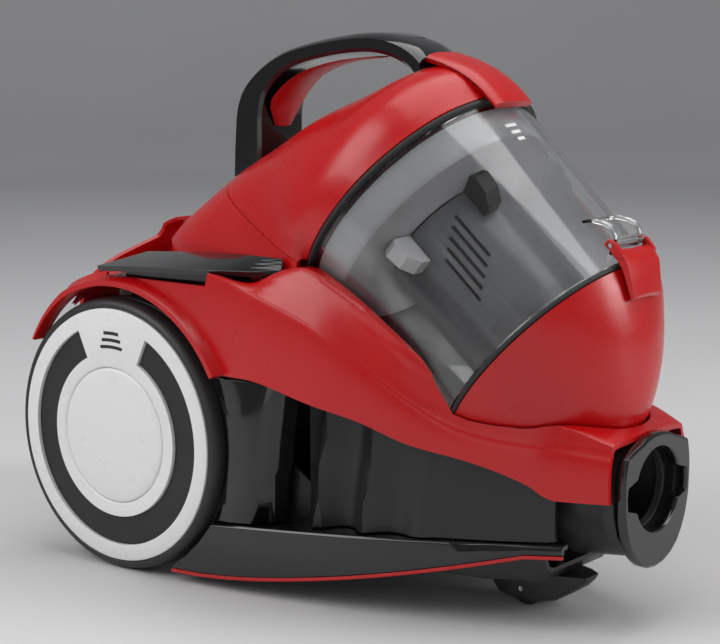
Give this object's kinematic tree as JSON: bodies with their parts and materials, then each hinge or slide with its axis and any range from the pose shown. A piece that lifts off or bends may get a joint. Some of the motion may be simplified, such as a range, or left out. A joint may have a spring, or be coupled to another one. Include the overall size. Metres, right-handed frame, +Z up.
{
  "type": "bagless canister vacuum cleaner",
  "caption": "Bagless canister vacuum with a slanted clear dust bin under a red hood, a strap handle, large rear wheels and a front caster.",
  "frame": {"origin": "centre of the bounding box's bottom, on the floor", "axes": "+X forward towards the hose port, +Y to the machine's left, +Z up"},
  "size_m": [0.402, 0.2154, 0.3272],
  "materials": {
    "red_body": "satin red moulded plastic",
    "black_body": "fine-grained black plastic",
    "black_gloss": "gloss black plastic",
    "white_trim": "satin white plastic",
    "charcoal_ring": "charcoal plastic insert",
    "clear": "clear polycarbonate",
    "smoke": "smoke-tinted plastic",
    "pale": "pale translucent plastic",
    "dark": "dark grey plastic",
    "seal": "black rubber seal",
    "tyre": "black tread rubber",
    "soft_red": "soft-touch red grip",
    "steel": "turned steel",
    "paper": "pleated filter paper",
    "board": "circuit board laminate"
  },
  "bodies": {
    "body": {"upper_shell": "red_body", "tower": "red_body", "chassis_tub": "black_body", "rear_panel": "black_body", "exhaust_cover": "red_body", "exhaust_filter": "paper", "cord_gland": "seal", "bin_cradle": "black_body", "suction_duct": "black_body", "port_collar": "black_body", "port_face": "black_gloss", "port_seal": "seal", "circuit_board": "board", "motor_housing": "black_body", "caster_stem": "steel", "wheel_axle_right": "steel", "wheel_axle_left": "steel", "sled_right": "black_gloss", "sled_left": "black_gloss", "sled_strip_right": "red_body", "sled_strip_left": "red_body", "side_panel_right": "black_gloss", "side_panel_left": "black_gloss", "side_insert_right": "black_body", "side_insert_left": "black_body"},
    "wheel_right": {"tyre_right": "tyre", "wheel_disc_right": "white_trim", "wheel_ring_right": "charcoal_ring", "wheel_cap_right": "white_trim", "wheel_hub_right": "black_body"},
    "wheel_left": {"tyre_left": "tyre", "wheel_disc_left": "white_trim", "wheel_ring_left": "charcoal_ring", "wheel_cap_left": "white_trim", "wheel_hub_left": "black_body"},
    "caster": {"caster_housing": "black_body", "caster_pin": "steel"},
    "roller": {"caster_roller": "black_body"},
    "pedal_right_body": {"pedal_right": "black_gloss"},
    "pedal_left_body": {"pedal_left": "black_gloss"},
    "rotor": {"motor_rotor": "steel"},
    "reel": {"cord_drum": "white_trim"},
    "container": {"lid": "red_body", "lid_gasket": "seal", "clear_bin": "clear", "separator_funnel": "pale", "cyclone_shroud": "smoke", "cyclone_cone": "dark", "handle": "black_gloss", "handle_grip": "soft_red", "flap_seal": "seal", "flap_pin": "steel", "lever_bracket": "clear", "lever_pin": "steel", "shroud_clip_dark": "black_body", "shroud_clip_pale": "white_trim"},
    "flap": {"bin_flap": "red_body"},
    "lever": {"flap_lever": "red_body"},
    "latch": {"release_latch": "red_body"}
  },
  "joints": [
    {"name": "wheel_right_spin", "type": "hinge", "parent": "body", "child": "wheel_right", "pos_m": [-0.117, -0.094, 0.084], "axis": [0, 1, 0], "continuous": true},
    {"name": "wheel_left_spin", "type": "hinge", "parent": "body", "child": "wheel_left", "pos_m": [-0.117, 0.094, 0.084], "axis": [0, 1, 0], "continuous": true},
    {"name": "caster_swivel", "type": "hinge", "parent": "body", "child": "caster", "pos_m": [0.139, 0, 0.024], "axis": [0, 0, 1], "continuous": true},
    {"name": "roller_spin", "type": "hinge", "parent": "caster", "child": "roller", "pos_m": [0.121, 0, 0.011], "axis": [0, 1, 0], "continuous": true},
    {"name": "pedal_right_press", "type": "hinge", "parent": "body", "child": "pedal_right_body", "pos_m": [-0.017, -0.082, 0.182], "axis": [0, -1, 0], "range_deg": [0, 1.2], "stiffness_Nm_per_rad": 8},
    {"name": "pedal_left_press", "type": "hinge", "parent": "body", "child": "pedal_left_body", "pos_m": [-0.017, 0.082, 0.182], "axis": [0, -1, 0], "range_deg": [0, 1.2], "stiffness_Nm_per_rad": 8},
    {"name": "rotor_spin", "type": "hinge", "parent": "body", "child": "rotor", "pos_m": [-0.065, 0, 0.092], "axis": [0, 1, 0], "continuous": true},
    {"name": "reel_spin", "type": "hinge", "parent": "body", "child": "reel", "pos_m": [-0.135, 0, 0.08], "axis": [0, 1, 0], "continuous": true},
    {"name": "container_lift", "type": "slide", "parent": "body", "child": "container", "axis": [0, 0, 1], "range_m": [0, 0.25]},
    {"name": "flap_open", "type": "hinge", "parent": "container", "child": "flap", "pos_m": [0.07843, 0, 0.0874], "axis": [0, 1, 0], "range_deg": [0, 75]},
    {"name": "lever_release", "type": "hinge", "parent": "container", "child": "lever", "pos_m": [0.17753, 0, 0.2141], "axis": [0, -1, 0], "range_deg": [0, 35], "stiffness_Nm_per_rad": 0.3},
    {"name": "latch_release", "type": "hinge", "parent": "container", "child": "latch", "pos_m": [0.0545, 0, 0.31], "axis": [0, -1, 0], "range_deg": [0, 8], "stiffness_Nm_per_rad": 1}
  ],
  "couplings": [
    {"joint": "flap_open", "follows": "container_lift", "rad_per_m": 5.2359}
  ]
}
